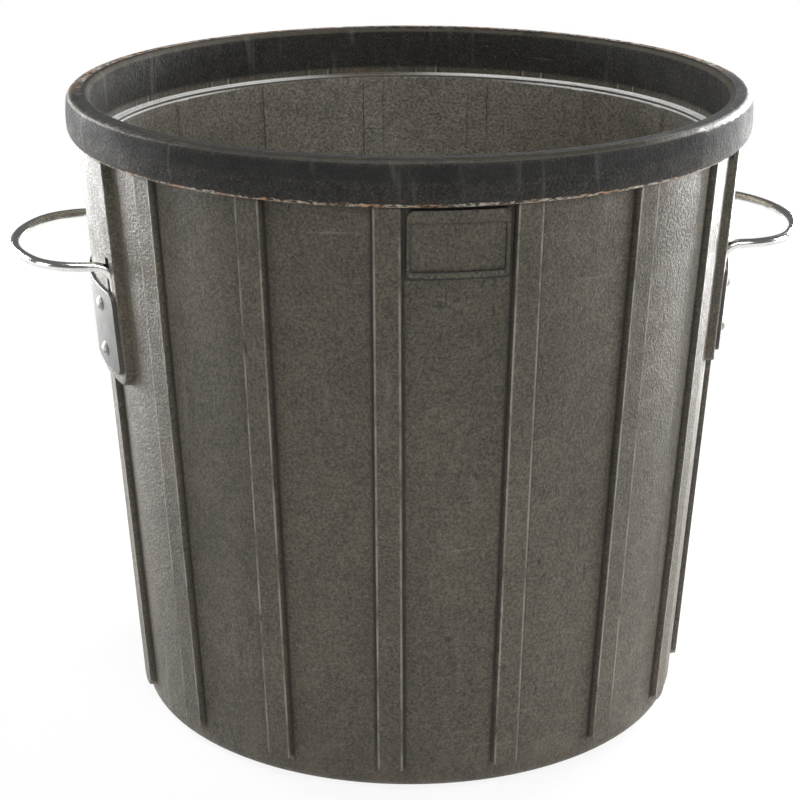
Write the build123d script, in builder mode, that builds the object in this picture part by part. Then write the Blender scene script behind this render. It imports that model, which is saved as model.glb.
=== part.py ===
from build123d import *
import os
from math import atan2, cos, degrees, radians, sin, sqrt

# A round rubber bin of about 75 litres. Millimetres, +Z up.
# The origin is at the middle of the underside. -Y is the front, where the blank name frame is,
# and the two steel loop handles are on the -X (left) and +X (right) sides.

# Driving dimensions of the rubber tub
overall_height = 490.0
foot_radius = 217.0          # outside of the wall, carried down to the floor
wall_top_radius = 247.5      # outside of the wall, where it meets the collar
wall_thickness = 9.5
floor_thickness = 10.0
foot_edge_radius = 9.0
inside_corner_radius = 14.0
foot_ring_width = 16.0
foot_recess_depth = 3.0

# Collar round the mouth, with a ledge inside that a lid can sit on
collar_height = 34.0
collar_overhang = 14.5       # from the top of the wall to the outside of the collar
collar_width = 18.5          # across the top of the rim
collar_bulge = 1.4
ledge_depth = 40.0
collar_shoulder_radius = 6.5
collar_underside_radius = 11.0
rim_inner_radius = 5.0
ledge_nose_radius = 3.0

# Ribs up the wall
rib_count = 16
rib_width = 20.0
rib_root_flare = 2.0         # extra width of a rib where it is sunk in the wall
rib_end_roundness = 0.45      # radius of a rib's lower corners, as a share of its width
rib_height = 4.5
rib_draft = 14.0             # slope of a rib's sides, in degrees
rib_end_height = 13.0
rib_edge_radius = 1.6
rib_root = 2.5               # how far a rib is sunk in the wall
rib_anchor_share = 1 / 3     # how far a rib runs up into the collar, as a share of its height
inner_rib_width = 17.0
inner_rib_height = 2.4
inner_rib_end_roundness = 0.3

# Blank name frame, moulded on the front under the collar
frame_width = 71.0
frame_height = 48.0
frame_gap = 3.0              # between the frame and the collar
frame_relief = 2.2
frame_corner_radius = 6.0
panel_width = 65.0
panel_height = 34.0
panel_rise = 4.5             # from the frame's lower edge to the panel's
panel_relief = 0.8
panel_corner_radius = 1.5

# Thickened pads that carry the handles
pad_depth = 6.5
pad_width = 184.0
pad_bottom = 282.0
pad_corner_radius = 14.0
pad_edge_radius = 2.0

# Handles, bent from round steel rod
rod_radius = 3.5
rod_clearance = 0.2
leg_spacing = 160.0
leg_foot_height = 297.0
loop_height = 375.0          # level of the loop
loop_reach = 57.0            # rod centre at the tip, from the face of the pad
loop_corner_radius = 46.0
loop_tip_radius = 110.0
rod_bend_radius = 14.0
rod_end_chamfer = 0.6

# Clamp plates over the handle legs, and the strips behind their rivets
plate_thickness = 2.5
plate_width = 176.0
plate_bottom = 291.0
plate_height = 64.0
plate_corner_radius = 7.0
plate_edge_radius = 0.6
seat_clearance = 0.1
strip_width = 22.0
strip_length = 60.0
strip_thickness = 2.0
strip_corner_radius = 5.0
rivet_column_angle = 14.0    # from the middle of the handle
rivet_pitch = 36.0
rivet_radius = 2.5
rivet_clearance = 0.15
rivet_dome_reach = 0.7       # where the head's dome passes, as a share of its radius
rivet_dome_rise = 0.6        # and as a share of its height
rivet_head_radius = 6.0
rivet_head_height = 2.8
rivet_tail_radius = 4.5
rivet_tail_height = 2.2

# Sizes that follow
collar_radius = wall_top_radius + collar_overhang
collar_inner_radius = collar_radius - collar_width
collar_bottom = overall_height - collar_height
ledge_level = overall_height - ledge_depth
taper = (wall_top_radius - foot_radius) / collar_bottom
lean = degrees(atan2(taper, 1))
rib_pitch = 360 / rib_count
leg_offset = leg_spacing / 2
plate_offset = pad_depth + seat_clearance
strip_crown = strip_width**2 / 8 / foot_radius


def wall_radius(height):
    """Radius of the outside of the wall at a height."""
    return foot_radius + taper * height


def wall_plane(angle, height, offset, inward=False):
    """Plane on the wall's cone, offset outwards, with its y axis up the slope."""
    reach = wall_radius(height) + offset
    turn = radians(angle)
    tilt = radians(lean)
    side = -1 if inward else 1
    return Plane(
        origin=(reach * cos(turn), reach * sin(turn), height),
        x_dir=(-side * sin(turn), side * cos(turn), 0),
        z_dir=(
            side * cos(tilt) * cos(turn),
            side * cos(tilt) * sin(turn),
            -side * sin(tilt),
        ),
    )


def wall_cone(offset, mode):
    """The solid inside the wall's cone, offset outwards, up to the collar."""
    return Cone(
        bottom_radius=wall_radius(0) + offset,
        top_radius=wall_radius(collar_bottom) + offset,
        height=collar_bottom,
        align=(Align.CENTER, Align.CENTER, Align.MIN),
        mode=mode,
    )


# One outside rib: a flat strap with sloping sides and a rounded lower end
rib_top = collar_bottom + collar_height * rib_anchor_share
rib_length = (rib_top - rib_end_height) / cos(radians(lean))
with BuildPart() as rib:
    with BuildSketch(wall_plane(0, rib_end_height, -rib_root)) as rib_outline:
        foot_flare = rib_root + rib_height
        Rectangle(rib_width + rib_root_flare, rib_length, align=(Align.CENTER, Align.MIN))
        fillet(rib_outline.vertices().group_by(Axis.Y)[0], rib_width * rib_end_roundness)
    extrude(amount=foot_flare, taper=rib_draft)
    fillet(rib.faces().sort_by(Axis.X)[-1].edges().sort_by(Axis.Z)[:-1], rib_edge_radius)

# One shallow inside rib, which stops under the ledge
inner_rib_foot = floor_thickness + inside_corner_radius
inner_rib_length = (ledge_level - ledge_nose_radius - inner_rib_foot) / cos(radians(lean))
inner_rib_plane = wall_plane(0, inner_rib_foot, rib_root - wall_thickness, inward=True)
with BuildPart() as inner_rib:
    with BuildSketch(inner_rib_plane) as inner_rib_outline:
        inner_rib_root = inner_rib_width + rib_root_flare
        Rectangle(inner_rib_root, inner_rib_length, align=(Align.CENTER, Align.MIN))
        fillet(inner_rib_outline.vertices(), inner_rib_width * inner_rib_end_roundness)
    extrude(amount=rib_root + inner_rib_height, taper=rib_draft)

# The blank name frame: a raised border round a sunk panel
frame_top = collar_bottom - frame_gap
frame_bottom = frame_top - frame_height
with BuildPart() as name_frame:
    with BuildSketch(Plane.XZ):
        with Locations((0, frame_bottom)):
            RectangleRounded(
                frame_width, frame_height, frame_corner_radius, align=(Align.CENTER, Align.MIN)
            )
    extrude(amount=collar_radius)
    wall_cone(frame_relief, Mode.INTERSECT)
    wall_cone(-rib_root, Mode.SUBTRACT)

with BuildPart() as name_panel:
    with BuildSketch(Plane.XZ):
        with Locations((0, frame_bottom + panel_rise)):
            RectangleRounded(
                panel_width, panel_height, panel_corner_radius, align=(Align.CENTER, Align.MIN)
            )
    extrude(amount=collar_radius)
    wall_cone(panel_relief, Mode.SUBTRACT)

# The pad under a handle, on the right side
with BuildPart() as pad:
    with BuildSketch(Plane.YZ) as pad_outline:
        with Locations((0, pad_bottom)):
            Rectangle(pad_width, collar_bottom - pad_bottom, align=(Align.CENTER, Align.MIN))
        fillet(pad_outline.vertices().group_by(Axis.Y)[0], pad_corner_radius)
    extrude(amount=collar_radius)
    wall_cone(pad_depth, Mode.INTERSECT)
    fillet(pad.faces().sort_by(Axis.X)[-1].edges().sort_by(Axis.Z)[:-1], pad_edge_radius)
    wall_cone(-rib_root, Mode.SUBTRACT)


def leg_reach(height):
    """Distance of a leg's centre line from the YZ plane, with the rod flush in its pad."""
    rod_depth = rod_radius + rod_clearance
    return sqrt((wall_radius(height) + pad_depth - rod_depth) ** 2 - leg_offset**2)


# The open groove in the pad that a leg lies in
leg_foot = Vector(leg_reach(leg_foot_height), leg_offset, leg_foot_height)
leg_corner = Vector(leg_reach(loop_height), leg_offset, loop_height)
leg_line = (leg_corner - leg_foot).normalized()
groove_radius = rod_radius + rod_clearance
groove_start = leg_foot - leg_line * 2 * rod_clearance
groove_length = (leg_corner - leg_foot).length + 2 * groove_radius
groove_plane = Plane(
    origin=groove_start, x_dir=(leg_line.Z, 0, -leg_line.X), z_dir=tuple(leg_line)
)
with BuildPart() as groove:
    with BuildSketch(groove_plane):
        Circle(groove_radius)
        Rectangle(2 * pad_depth, 2 * groove_radius, align=(Align.MIN, Align.CENTER))
    extrude(amount=groove_length)
    mirror(about=Plane.XZ)
    mirror(about=Plane.YZ)

# Where the rivets go: two columns at each side, one for each leg
rivet_middle = plate_bottom + plate_height / 2
head_offset = plate_offset + plate_thickness + seat_clearance
rivet_bore_length = 8 * wall_thickness
sides = {"right": 0, "left": 180}
columns = {"right_front": -1, "right_back": 1, "left_front": 1, "left_back": -1}
levels = {"lower": -rivet_pitch / 2, "upper": rivet_pitch / 2}


def column_angle(column):
    """Angle from +X of a column of rivets."""
    return sides[column.split("_")[0]] + columns[column] * rivet_column_angle


def rivet_plane(column, level):
    """Plane of a rivet head's seat on the clamp plate."""
    return wall_plane(column_angle(column), rivet_middle + levels[level], head_offset)


rivet_places = [rivet_plane(column, level).location for column in columns for level in levels]
right_rivet_places = rivet_places[: len(rivet_places) // 2]

# The tub: one moulding
with BuildPart() as tub:
    with BuildSketch(Plane.XZ) as tub_profile:
        with BuildLine():
            collar_foot = (collar_radius - collar_bulge, collar_bottom)
            collar_top = (collar_radius - collar_bulge, overall_height)
            ring_inner_radius = foot_radius - foot_edge_radius - foot_ring_width
            inner_foot_radius = wall_radius(floor_thickness) - wall_thickness
            ledge_inner_radius = wall_radius(ledge_level) - wall_thickness
            Polyline(
                (0, foot_recess_depth),
                (ring_inner_radius - foot_recess_depth, foot_recess_depth),
                (ring_inner_radius, 0),
                (foot_radius, 0),
                (wall_top_radius, collar_bottom),
                collar_foot,
            )
            ThreePointArc(
                collar_foot, (collar_radius, collar_bottom + collar_height / 2), collar_top
            )
            Polyline(
                collar_top,
                (collar_inner_radius, overall_height),
                (collar_inner_radius, ledge_level),
                (ledge_inner_radius, ledge_level),
                (inner_foot_radius, floor_thickness),
                (0, floor_thickness),
                (0, foot_recess_depth),
            )
        make_face()
        corner_radii = {
            (foot_radius, 0): foot_edge_radius,
            collar_foot: collar_underside_radius,
            collar_top: collar_shoulder_radius,
            (collar_inner_radius, overall_height): rim_inner_radius,
            (collar_inner_radius, ledge_level): ledge_nose_radius / 2,
            (ledge_inner_radius, ledge_level): ledge_nose_radius,
            (inner_foot_radius, floor_thickness): inside_corner_radius,
        }
        for corner, corner_radius in corner_radii.items():
            fillet(tub_profile.vertices().sort_by_distance(corner)[0], corner_radius)
    revolve(axis=Axis.Z)
    with PolarLocations(0, rib_count, start_angle=rib_pitch / 2):
        add(rib.part)
    with PolarLocations(0, rib_count):
        add(inner_rib.part)
    add(name_frame.part)
    add(name_panel.part, mode=Mode.SUBTRACT)
    with PolarLocations(0, 2):
        add(pad.part)
    add(groove.part, mode=Mode.SUBTRACT)
    with Locations(*rivet_places):
        Cylinder(rivet_radius + rivet_clearance, rivet_bore_length, mode=Mode.SUBTRACT)

# A handle: two legs, a bend at the top of each, and a flat loop of three tangent arcs
corner_offset = leg_offset - loop_corner_radius
centre_gap = sqrt((loop_tip_radius - loop_corner_radius) ** 2 - corner_offset**2)
loop_tip = wall_radius(loop_height) + pad_depth + loop_reach
tip_centre = loop_tip - loop_tip_radius
corner_centre = tip_centre + centre_gap
corner_sweep = 90 - degrees(atan2(corner_offset, centre_gap))
with BuildPart() as handle:
    with BuildLine() as rod_line:
        leg = FilletPolyline(
            leg_foot, leg_corner, (corner_centre, leg_offset, loop_height), radius=rod_bend_radius
        )
        with BuildLine(Plane.XY.offset(loop_height)):
            CenterArc((corner_centre, corner_offset), loop_corner_radius, 90, -corner_sweep)
            CenterArc(
                (tip_centre, 0), loop_tip_radius, 90 - corner_sweep, 2 * corner_sweep - 180
            )
            CenterArc((corner_centre, -corner_offset), loop_corner_radius, -90, corner_sweep)
        mirror(leg, about=Plane.XZ)
    with BuildSketch(Plane(origin=leg_foot, z_dir=leg_line)):
        Circle(rod_radius)
    sweep(path=rod_line.wires()[0])
    rod_ends = handle.edges().filter_by(GeomType.CIRCLE).group_by(Axis.Z)[0]
    chamfer(rod_ends, rod_end_chamfer)

# A clamp plate: a curved plate over both legs, holed for its rivets
with BuildPart() as clamp_plate:
    with BuildSketch(Plane.YZ):
        with Locations((0, plate_bottom)):
            RectangleRounded(
                plate_width, plate_height, plate_corner_radius, align=(Align.CENTER, Align.MIN)
            )
    extrude(amount=collar_radius)
    wall_cone(plate_offset + plate_thickness, Mode.INTERSECT)
    fillet(clamp_plate.faces().sort_by(Axis.X)[-1].edges(), plate_edge_radius)
    wall_cone(plate_offset, Mode.SUBTRACT)
    with Locations(*right_rivet_places):
        Cylinder(rivet_radius + rivet_clearance, wall_thickness, mode=Mode.SUBTRACT)

# A backing strip: a flat steel strip inside the tub, behind one column of rivets
with BuildPart() as backing_strip:
    with BuildSketch():
        RectangleRounded(strip_width, strip_length, strip_corner_radius)
    extrude(amount=-strip_thickness)
    with Locations(*[(0, level) for level in levels.values()]):
        Cylinder(rivet_radius + rivet_clearance, 3 * strip_thickness, mode=Mode.SUBTRACT)

# A rivet: a domed head, a shank and the tail formed over the strip
grip = (head_offset + wall_thickness) * cos(radians(lean))
strip_seat = grip + strip_crown + seat_clearance
tail_seat = strip_seat + strip_thickness + seat_clearance
tail_end = tail_seat + rivet_tail_height
with BuildPart() as rivet:
    with BuildSketch(Plane.XZ):
        with BuildLine():
            ThreePointArc(
                (0, rivet_head_height),
                (rivet_head_radius * rivet_dome_reach, rivet_head_height * rivet_dome_rise),
                (rivet_head_radius, 0),
            )
            Polyline(
                (rivet_head_radius, 0),
                (rivet_radius, 0),
                (rivet_radius, -tail_seat),
                (rivet_tail_radius, -tail_seat),
                (rivet_tail_radius, -tail_seat - rivet_tail_height / 2),
                (rivet_tail_radius - rivet_tail_height / 2, -tail_end),
                (0, -tail_end),
                (0, rivet_head_height),
            )
        make_face()
    revolve(axis=Axis.Z)

# Every piece in its place
pieces = {"tub": tub.part}
for side, turn in sides.items():
    with BuildPart() as placed_handle:
        with Locations(Location((0, 0, 0), (0, 0, turn))):
            add(handle.part)
    pieces[f"handle_{side}"] = placed_handle.part
    with BuildPart() as placed_plate:
        with Locations(Location((0, 0, 0), (0, 0, turn))):
            add(clamp_plate.part)
    pieces[f"clamp_plate_{side}"] = placed_plate.part
for column in columns:
    strip_place = wall_plane(column_angle(column), rivet_middle, head_offset).offset(-strip_seat)
    with BuildPart() as placed_strip:
        with Locations(strip_place.location):
            add(backing_strip.part)
    pieces[f"backing_strip_{column}"] = placed_strip.part
    for level in levels:
        with BuildPart() as placed_rivet:
            with Locations(rivet_plane(column, level).location):
                add(rivet.part)
        pieces[f"rivet_{column}_{level}"] = placed_rivet.part

os.makedirs("parts", exist_ok=True)
for name, piece in pieces.items():
    piece.label = name
    export_step(piece, f"parts/{name}.step")
    print(name, round(piece.volume / 1000, 2), "cm3")
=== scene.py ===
from math import cos, pi, radians, sin

import bpy
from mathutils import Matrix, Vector

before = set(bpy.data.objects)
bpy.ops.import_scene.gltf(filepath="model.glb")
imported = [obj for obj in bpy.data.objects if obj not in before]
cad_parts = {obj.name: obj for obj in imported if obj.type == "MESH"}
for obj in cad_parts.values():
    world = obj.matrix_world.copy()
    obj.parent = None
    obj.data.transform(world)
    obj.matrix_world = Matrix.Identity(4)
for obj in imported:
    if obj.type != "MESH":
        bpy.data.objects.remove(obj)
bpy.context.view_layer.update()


class Value:
    """A value in a material, on which Python's operators do arithmetic."""

    def __init__(self, finish, socket):
        self.finish = finish
        self.socket = socket

    def maths(self, operation, *values):
        sockets = dict(enumerate(values))
        return self.finish.node("ShaderNodeMath", {"operation": operation}, sockets)

    def __add__(self, other):
        return self.maths("ADD", self, other)

    def __radd__(self, other):
        return self.maths("ADD", other, self)

    def __sub__(self, other):
        return self.maths("SUBTRACT", self, other)

    def __rsub__(self, other):
        return self.maths("SUBTRACT", other, self)

    def __mul__(self, other):
        return self.maths("MULTIPLY", self, other)

    def __rmul__(self, other):
        return self.maths("MULTIPLY", other, self)

    def __truediv__(self, other):
        return self.maths("DIVIDE", self, other)

    def __pow__(self, other):
        return self.maths("POWER", self, other)

    def __abs__(self):
        return self.maths("ABSOLUTE", self)

    def between(self, low, high):
        """0 below low, 1 above high and smooth in between. High may be the lower one."""
        settings = {"interpolation_type": "SMOOTHSTEP"}
        turned = low > high
        sockets = {0: self, 1: min(low, high), 2: max(low, high)}
        sockets.update({3: 1.0, 4: 0.0} if turned else {3: 0.0, 4: 1.0})
        return self.finish.node("ShaderNodeMapRange", settings, sockets)

    def band(self, start, full, fading, end):
        """1 from full to fading, 0 before start and past end, and smooth in between."""
        return self.between(start, full) * self.between(end, fading)


class Finish:
    """A material that is built up node by node around one shader."""

    def __init__(self, name, **settings):
        self.material = bpy.data.materials.new(name)
        self.material.use_nodes = True
        self.tree = self.material.node_tree
        self.shader = self.tree.nodes["Principled BSDF"]
        for socket, setting in settings.items():
            self.feed(socket.replace("_", " "), setting)

    def feed(self, socket, value):
        """Gives a socket of the shader a number, a colour or a value from another node."""
        target = self.shader.inputs[socket]
        if isinstance(value, Value):
            self.tree.links.new(value.socket, target)
        else:
            target.default_value = value

    def node(self, kind, settings=None, sockets=None, output=0):
        """Adds a node, sets it up, feeds its sockets and returns one of its outputs."""
        added = self.tree.nodes.new(kind)
        for name, setting in (settings or {}).items():
            setattr(added, name, setting)
        for key, value in (sockets or {}).items():
            if isinstance(value, Value):
                self.tree.links.new(value.socket, added.inputs[key])
            else:
                added.inputs[key].default_value = value
        return Value(self, added.outputs[output])

    def place(self):
        """Where a point of the surface is on its object, in metres."""
        return self.node("ShaderNodeTexCoord", output=3)

    def axes(self, place):
        """The x, y and z of a place, as three values."""
        split = self.node("ShaderNodeSeparateXYZ", None, {0: place})
        outputs = split.socket.node.outputs
        return [Value(self, outputs[index]) for index in range(3)]

    def noise(self, place, scale, detail=2.0, roughness=0.5):
        sockets = {"Vector": place, "Scale": scale, "Detail": detail, "Roughness": roughness}
        return self.node("ShaderNodeTexNoise", None, sockets)

    def stretched(self, place, scale, turn=(0.0, 0.0, 0.0)):
        """A place turned and scaled along each axis, for marks that run one way."""
        sockets = {"Vector": place, "Rotation": turn, "Scale": scale}
        return self.node("ShaderNodeMapping", None, sockets)

    def blend(self, factor, first, second, blend_type="MIX"):
        """Mixes two colours."""
        settings = {"data_type": "RGBA", "blend_type": blend_type}
        return self.node("ShaderNodeMix", settings, {0: factor, 6: first, 7: second}, 2)

    def greater(self, first, second):
        """The greater of two values."""
        return self.node("ShaderNodeMath", {"operation": "MAXIMUM"}, {0: first, 1: second})

    def bump(self, height, strength, distance, normal=None):
        sockets = {"Height": height, "Strength": strength, "Distance": distance}
        if normal:
            sockets["Normal"] = normal
        return self.node("ShaderNodeBump", None, sockets)


def colour(red, green, blue):
    return (red, green, blue, 1.0)


# What the rubber's marks follow on the bin, in metres
wall_taper = 0.0669          # growth of the wall's radius with height
inside_radius = 0.212        # between the wall's two faces, carried down to the floor
rib_pitch = radians(22.5)
whole_turns = 16.0           # added so that a rib's number is never below 0
frame_half_width = 0.0355
frame_half_height = 0.024
frame_middle = 0.429
panel_half_width = 0.0325
panel_half_height = 0.017
panel_middle = 0.4265
pit_density = 26.0

# The rubber's colours
wall_colours = (colour(0.078, 0.066, 0.041), colour(0.113, 0.093, 0.060))
# Painted light: the inside's colours are about twice the wall's, lighter to stand in for light
inside_painted_light_colours = (colour(0.20, 0.178, 0.137), colour(0.26, 0.235, 0.185))
collar_colours = (colour(0.013, 0.012, 0.0085), colour(0.022, 0.0195, 0.014))
mottle_shade = colour(0.62, 0.63, 0.66)
speck_shade = colour(0.2, 0.21, 0.24)
bright_specks = (colour(0.2, 0.178, 0.135), colour(0.1, 0.087, 0.062))
# Painted shade, with dirt: dark at the foot of the ribs and round the name frame
shade_and_dirt_colour = colour(0.008, 0.008, 0.007)
# Painted shade: dark bands on the collar's top and below its shoulder
shade_band_colour = colour(0.005, 0.005, 0.005)
# Painted highlight, with wear: light lines along the ribs' edges
ridge_wear_and_highlight_colour = colour(0.34, 0.31, 0.26)
# Painted highlight: near-white lines on the ledge
ledge_highlight_colour = colour(0.82, 0.82, 0.8)
# Painted shade: a dark line in the ledge's seam
seam_shade_colour = colour(0.02, 0.019, 0.016)
# Painted highlight, partly wear: on the collar's inner edge and shoulder
rubbed_highlight_colour = colour(0.085, 0.073, 0.053)
dust_colour = colour(0.13, 0.105, 0.076)
pit_colour = colour(0.012, 0.012, 0.011)
streak_colour = colour(0.16, 0.15, 0.135)
scuff_colour = colour(0.2, 0.185, 0.165)
nick_colour = colour(0.014, 0.013, 0.012)
worn_colours = (colour(0.5, 0.44, 0.36), colour(0.46, 0.27, 0.15))


class Rubber(Finish):
    """Worn rubber: dark and dull on the collar, grey-brown on the wall, and painted lighter
    inside to stand in for light.
    """

    def __init__(self):
        super().__init__("worn_rubber", IOR=1.5)
        self.where = self.place()
        self.x, self.y, self.z = self.axes(self.where)
        self.reach = (self.x * self.x + self.y * self.y) ** 0.5
        self.side = abs(self.x)
        from_wall = self.reach - wall_taper * self.z
        self.inside = from_wall.between(inside_radius + 0.0005, inside_radius - 0.0005)
        self.collar = self.z.between(0.4535, 0.4575) * self.reach.between(0.236, 0.24)
        foot = self.z.between(0.013, 0.018)
        self.outside = (1.0 - self.collar) * (1.0 - self.inside) * foot
        self.patchy = self.noise(self.where, 30.0, 4.0, 0.65)
        self.base = None

    def paint(self, factor, shade, blend_type="MIX"):
        """Lays a colour over what is there."""
        self.base = self.blend(factor, self.base, shade, blend_type)

    def ground(self):
        """The rubber's own colours, mottled and grained, with painted light: the inside is
        painted lighter than the wall.
        """
        cloud = self.noise(self.where, 7.0, 4.0, 0.6).between(0.32, 0.68)
        self.mottle = self.noise(self.where, 55.0, 4.0, 0.65).between(0.35, 0.65)
        self.grain = self.noise(self.where, 480.0, 3.0, 0.7)
        self.speck = self.grain.between(0.36, 0.64)
        self.base = self.blend(cloud, *wall_colours)
        # Painted light: the inside is painted lighter than the wall, standing in for light
        self.paint(self.inside, self.blend(cloud, *inside_painted_light_colours))
        self.paint(self.collar, self.blend(cloud, *collar_colours))
        self.paint(self.mottle * 0.5, mottle_shade, "MULTIPLY")
        self.paint(self.speck * 0.8, speck_shade, "MULTIPLY")
        bright_speck = self.noise(self.where, 640.0, 2.0, 0.7).between(0.54, 0.7)
        bright = self.blend(self.collar, *bright_specks)
        self.paint(bright_speck * (0.42 + 0.1 * self.collar), bright)

    def rib_marks(self):
        """Painted shade, with dirt, along the foot of each rib, and a painted highlight, with
        wear, along its edges.
        """
        turn = self.node("ShaderNodeMath", {"operation": "ARCTAN2"}, {0: self.y, 1: self.x})
        number = turn / rib_pitch + whole_turns
        share = self.node("ShaderNodeMath", {"operation": "FRACT"}, {0: number})
        offset = abs(share - 0.5) * rib_pitch * self.reach
        # Painted shade, with dirt, darkens the foot of each rib
        foot_shade_and_dirt = offset.band(0.0096, 0.0104, 0.0112, 0.0128) * self.outside
        self.paint(foot_shade_and_dirt * (0.55 + 0.4 * self.patchy), shade_and_dirt_colour)
        # Painted highlight, with wear, lightens each rib's edges
        ridge_wear_and_highlight = offset.band(0.0074, 0.0084, 0.009, 0.0096) * self.outside
        ridge_wear_and_highlight = ridge_wear_and_highlight * self.patchy.between(0.3, 0.6)
        self.paint(ridge_wear_and_highlight * 0.55, ridge_wear_and_highlight_colour)

    def ledge_marks(self):
        """Painted highlight on the ledge's flat and lip, most of it at the sides, and painted
        shade in the seam between.
        """
        ledge = self.z.band(0.4491, 0.4495, 0.4508, 0.4513)
        ledge = ledge * self.reach.band(0.2368, 0.2374, 0.2430, 0.2436)
        lip = self.z.band(0.4462, 0.4466, 0.4476, 0.4480)
        lip = lip * self.reach.band(0.2352, 0.2356, 0.2385, 0.2390)
        self.polish_and_highlight = ledge * self.side.between(0.01, 0.1) + lip * self.side.between(0.1, 0.16)
        # Painted highlight: near-white lines on the ledge's flat and lip
        self.paint(self.polish_and_highlight * 0.85, ledge_highlight_colour)
        # Painted shade: a dark line in the seam between the ledge's flat and lip
        seam_shade = self.z.band(0.4478, 0.4482, 0.4490, 0.4494)
        seam_shade = seam_shade * self.reach.band(0.2356, 0.2360, 0.2390, 0.2395)
        self.paint(seam_shade * 0.8, seam_shade_colour)

    def collar_bands(self):
        """Painted highlight, partly wear, on the collar's inner edge and shoulder, with painted
        shade between and below.
        """
        top = self.z.between(0.4862, 0.4872)
        inner_edge = top * self.reach.band(0.2434, 0.2438, 0.2462, 0.2474)
        self.shoulder = self.z.between(0.4852, 0.4862)
        self.shoulder = self.shoulder * self.reach.band(0.2550, 0.2560, 0.2598, 0.2606)
        # Painted highlight, partly wear: lighter lines on the collar's inner edge and shoulder
        rubbed_highlight = (inner_edge + 0.6 * self.shoulder) * self.patchy.between(0.2, 0.5)
        self.paint(rubbed_highlight * 0.6, rubbed_highlight_colour)
        # Painted shade: dark bands on the collar's top between edge and shoulder, and below the
        # shoulder
        trough = top * self.reach.band(0.2468, 0.2480, 0.2540, 0.2552)
        below = self.z.band(0.4740, 0.4770, 0.4850, 0.4860) * self.reach.between(0.2580, 0.2590)
        self.paint((trough + below) * 0.75, shade_band_colour)

    def frame_shade_and_dirt(self):
        """Painted shade, with dirt, round the name frame and its bare panel."""
        front = self.y.between(-0.1, -0.12)
        beyond = self.greater(
            self.side - frame_half_width, abs(self.z - frame_middle) - frame_half_height
        )
        within = self.greater(
            self.side - panel_half_width, abs(self.z - panel_middle) - panel_half_height
        )
        # Painted shade, with dirt: a dark line round the frame's and the panel's edges
        edging = beyond.band(-0.0006, 0.0002, 0.0012, 0.0022)
        edging = edging + 0.7 * within.band(-0.0004, 0.0, 0.0006, 0.0012)
        self.paint(edging * front * self.outside * 0.8, shade_and_dirt_colour)

    def foot_dust(self):
        dust = self.z.between(0.05, 0.0)
        dust = dust * self.noise(self.where, 24.0, 5.0, 0.7).between(0.4, 0.65)
        self.paint(dust * 0.55, dust_colour)

    def pits(self):
        """Small pits, a few to each panel."""
        cells = {"Vector": self.where, "Scale": pit_density}
        distance = self.node("ShaderNodeTexVoronoi", None, cells)
        drawn = self.axes(self.node("ShaderNodeTexVoronoi", None, cells, output=1))[0]
        ragged = distance + 0.08 * self.noise(self.where, 190.0, 3.0)
        self.pit = ragged.between(0.115, 0.08) * drawn.between(0.6, 0.62)
        self.paint(self.pit * 0.85, pit_colour)

    def rubs(self):
        """Long rub marks that run down and round the wall."""
        down = self.stretched(self.where, (70.0, 70.0, 9.0))
        self.streak = self.noise(down, 1.0, 3.0, 0.6).between(0.6, 0.74)
        across = self.stretched(self.where, (12.0, 12.0, 300.0), (0.5, 0.3, 0.2))
        self.scuff = self.noise(across, 1.0, 2.0, 0.5).between(0.68, 0.74)
        self.scuff = self.scuff * self.noise(self.where, 14.0, 2.0).between(0.52, 0.66)
        self.paint(self.streak * 0.22, streak_colour)
        self.paint(self.scuff * 0.5, scuff_colour)

    def nicks(self):
        """Clusters of short dark nicks."""
        short = self.stretched(self.where, (330.0, 330.0, 90.0), (0.2, 0.0, 0.3))
        self.nick = self.noise(short, 1.0, 2.0, 0.6).between(0.64, 0.68)
        cluster = self.noise(self.where, 11.0, 3.0, 0.6).between(0.54, 0.62)
        self.nick = self.nick * cluster * self.outside
        self.paint(self.nick * 0.8, nick_colour)

    def mould_lines(self):
        """Worn mould lines: under the collar, and on the outer edge of the rim's back half."""
        flake = self.noise(self.where, 260.0, 3.0, 0.75).between(0.42, 0.56)
        ragged = self.z - 0.006 * self.noise(self.where, 110.0, 4.0, 0.7)
        lip = self.z.between(0.4557, 0.4562) * ragged.between(0.4572, 0.4562)
        lip = lip * self.reach.between(0.2515, 0.2525)
        crest = self.z.between(0.4862, 0.4870) * self.reach.between(0.2490, 0.2510)
        crest = crest * self.y.between(-0.02, 0.06)
        self.worn = (lip + crest) * flake
        tint = self.noise(self.where, 45.0, 2.0).between(0.42, 0.6)
        self.paint(self.worn * 0.8, self.blend(tint, *worn_colours))

    def surface(self):
        """How rough and how uneven the rubber is."""
        rough = 0.4 + 0.36 * self.collar + 0.1 * self.mottle + 0.1 * self.speck
        rough = rough - 0.42 * self.shoulder - 0.25 * self.polish_and_highlight
        self.feed("Roughness", rough + 0.3 * self.worn - 0.1 * self.streak)
        coarse = self.bump(self.noise(self.where, 60.0, 3.0, 0.6), 0.3, 0.0015)
        fine = self.bump(self.grain, 0.8, 0.0013, coarse)
        chips = 1.0 - self.pit - 0.6 * self.nick + 0.4 * self.worn - 0.3 * self.scuff
        self.feed("Normal", self.bump(chips, 0.8, 0.0012, fine))


def rubber_finish():
    """The tub's rubber, laid on mark by mark."""
    rubber = Rubber()
    rubber.ground()
    rubber.rib_marks()
    rubber.ledge_marks()
    rubber.collar_bands()
    rubber.frame_shade_and_dirt()
    rubber.foot_dust()
    rubber.pits()
    rubber.rubs()
    rubber.nicks()
    rubber.mould_lines()
    rubber.feed("Base Color", rubber.base)
    rubber.surface()
    return rubber.material


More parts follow.
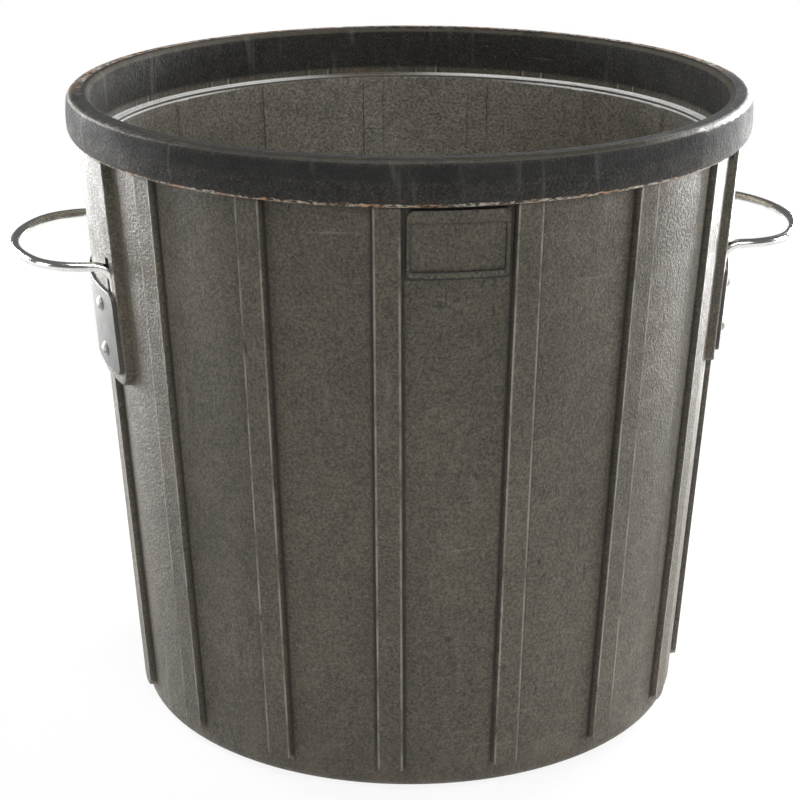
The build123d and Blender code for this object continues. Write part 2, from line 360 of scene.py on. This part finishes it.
def zinc_finish():
    """Bright zinc plate with a grey bloom and small dark spots."""
    finish = Finish("bright_zinc", Metallic=1.0)
    place = finish.place()
    bloom = finish.noise(place, 60.0, 4.0, 0.65).between(0.4, 0.7)
    spot = finish.noise(place, 420.0, 3.0, 0.6).between(0.62, 0.72)
    base = finish.blend(bloom, colour(0.80, 0.80, 0.78), colour(0.58, 0.57, 0.54))
    base = finish.blend(spot * 0.6, base, colour(0.22, 0.18, 0.14))
    finish.feed("Base Color", base)
    finish.feed("Roughness", 0.14 + 0.14 * bloom + 0.2 * spot)
    finish.feed("Normal", finish.bump(finish.noise(place, 350.0, 2.0), 0.12, 0.0003))
    return finish.material


def paint_finish():
    """Black paint on steel plate, scuffed grey in places."""
    finish = Finish("black_paint", IOR=1.5)
    place = finish.place()
    cloud = finish.noise(place, 40.0, 4.0, 0.6).between(0.4, 0.7)
    scuff = finish.noise(place, 150.0, 4.0, 0.7).between(0.62, 0.7)
    base = finish.blend(cloud, colour(0.03, 0.029, 0.027), colour(0.055, 0.05, 0.045))
    base = finish.blend(scuff * 0.6, base, colour(0.16, 0.15, 0.14))
    finish.feed("Base Color", base)
    finish.feed("Roughness", 0.33 + 0.15 * cloud + 0.2 * scuff)
    finish.feed("Normal", finish.bump(finish.noise(place, 500.0, 3.0), 0.3, 0.0004))
    return finish.material


def rivet_finish():
    """Dull zinc on the rivets, browned in patches."""
    finish = Finish("dull_zinc", Metallic=1.0)
    place = finish.place()
    cloud = finish.noise(place, 220.0, 3.0, 0.6).between(0.4, 0.7)
    rust = finish.noise(place, 130.0, 4.0, 0.7).between(0.58, 0.68)
    base = finish.blend(cloud, colour(0.36, 0.35, 0.33), colour(0.24, 0.23, 0.21))
    base = finish.blend(rust * 0.7, base, colour(0.16, 0.09, 0.05))
    finish.feed("Base Color", base)
    finish.feed("Roughness", 0.36 + 0.2 * cloud + 0.2 * rust)
    finish.feed("Normal", finish.bump(finish.noise(place, 600.0, 3.0), 0.35, 0.0004))
    return finish.material


finishes = {
    "tub": rubber_finish(),
    "handle": zinc_finish(),
    "clamp": paint_finish(),
    "rivet": rivet_finish(),
}
finishes["backing"] = finishes["clamp"]
for name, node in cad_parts.items():
    node.data.materials.clear()
    node.data.materials.append(finishes[name.split("_")[0]])


# Camera at the photograph's place
camera_distance = 1.6281
camera_height = 0.8109
camera_azimuth = radians(-7.8)
camera_heading = radians(-7.548)
camera_pitch = radians(19.598)
camera_lens = 96.29
sensor_width = 36.0
camera_data = bpy.data.cameras.new("camera")
camera_data.lens = camera_lens
camera_data.sensor_width = sensor_width
camera = bpy.data.objects.new("camera", camera_data)
bpy.context.scene.collection.objects.link(camera)
camera.location = (
    camera_distance * sin(camera_azimuth),
    -camera_distance * cos(camera_azimuth),
    camera_height,
)
camera.rotation_euler = (pi / 2 - camera_pitch, 0.0, camera_heading)
bpy.context.scene.camera = camera

# Floor
floor_radius = 12.0
floor_sides = 96
bpy.ops.object.select_all(action="DESELECT")
bpy.ops.mesh.primitive_circle_add(vertices=floor_sides, radius=floor_radius, fill_type="NGON")
floor = bpy.context.object
floor.name = "floor"


def floor_finish():
    """A pale floor that the camera, and reflections near the bin, see as nearly white."""
    finish = Finish("pale_floor", Roughness=0.9, Base_Color=colour(0.85, 0.85, 0.85))
    finish.shader.inputs["Specular IOR Level"].default_value = 0.0
    place = finish.place()
    distance = finish.node("ShaderNodeVectorMath", {"operation": "LENGTH"}, {0: place}, 1)
    light_path = finish.node("ShaderNodeLightPath").socket.node.outputs
    mirrored = Value(finish, light_path["Is Glossy Ray"]) * distance.between(1.7, 0.8)
    seen = Value(finish, light_path["Is Camera Ray"]) + mirrored
    white = finish.node("ShaderNodeEmission", None, {"Strength": 1.0})
    lit = Value(finish, finish.shader.outputs[0])
    share = seen * (0.86 + 0.14 * distance.between(0.3, 0.9))
    mixed = finish.node("ShaderNodeMixShader", None, {0: share, 1: lit, 2: white})
    output = finish.tree.nodes["Material Output"]
    finish.tree.links.new(mixed.socket, output.inputs["Surface"])
    return finish.material


floor.data.materials.append(floor_finish())


# Studio light
def softbox(name, place, target, width, height, power):
    """An area light that faces its target."""
    lamp = bpy.data.lights.new(name, "AREA")
    lamp.shape = "RECTANGLE"
    lamp.size = width
    lamp.size_y = height
    lamp.energy = power
    holder = bpy.data.objects.new(name, lamp)
    bpy.context.scene.collection.objects.link(holder)
    holder.location = place
    aim = Vector(target) - Vector(place)
    holder.rotation_euler = aim.to_track_quat("-Z", "Y").to_euler()


bin_middle = (0.0, 0.0, 0.25)
far_inside = (0.0, 0.15, 0.3)
softbox("left_softbox", (-1.8, -0.2, 0.6), bin_middle, 0.7, 1.0, 7.0)
softbox("right_softbox", (1.8, -0.1, 0.6), bin_middle, 0.7, 1.0, 22.0)
softbox("left_rim_softbox", (-1.35, 1.2, 0.4), bin_middle, 0.7, 1.0, 62.0)
softbox("right_rim_softbox", (1.35, 1.15, 0.4), bin_middle, 0.8, 1.0, 120.0)
softbox("front_softbox", (0.6, -2.6, 1.9), bin_middle, 1.4, 1.0, 36.0)
softbox("top_softbox", (-0.5, -0.6, 2.3), far_inside, 0.9, 0.9, 18.0)

# White surroundings, dimmer as a light than as the camera sees them
world_light = 0.15
world = bpy.data.worlds.new("studio")
bpy.context.scene.world = world
world.use_nodes = True
world_nodes = world.node_tree.nodes
world_links = world.node_tree.links
background = world_nodes["Background"]
background.inputs["Color"].default_value = colour(1.0, 1.0, 1.0)
path = world_nodes.new("ShaderNodeLightPath")
strength = world_nodes.new("ShaderNodeMapRange")
strength.inputs["To Min"].default_value = world_light
strength.inputs["To Max"].default_value = 1.0
world_links.new(path.outputs["Is Camera Ray"], strength.inputs["Value"])
world_links.new(strength.outputs[0], background.inputs["Strength"])

bpy.context.scene.view_settings.view_transform = "Standard"
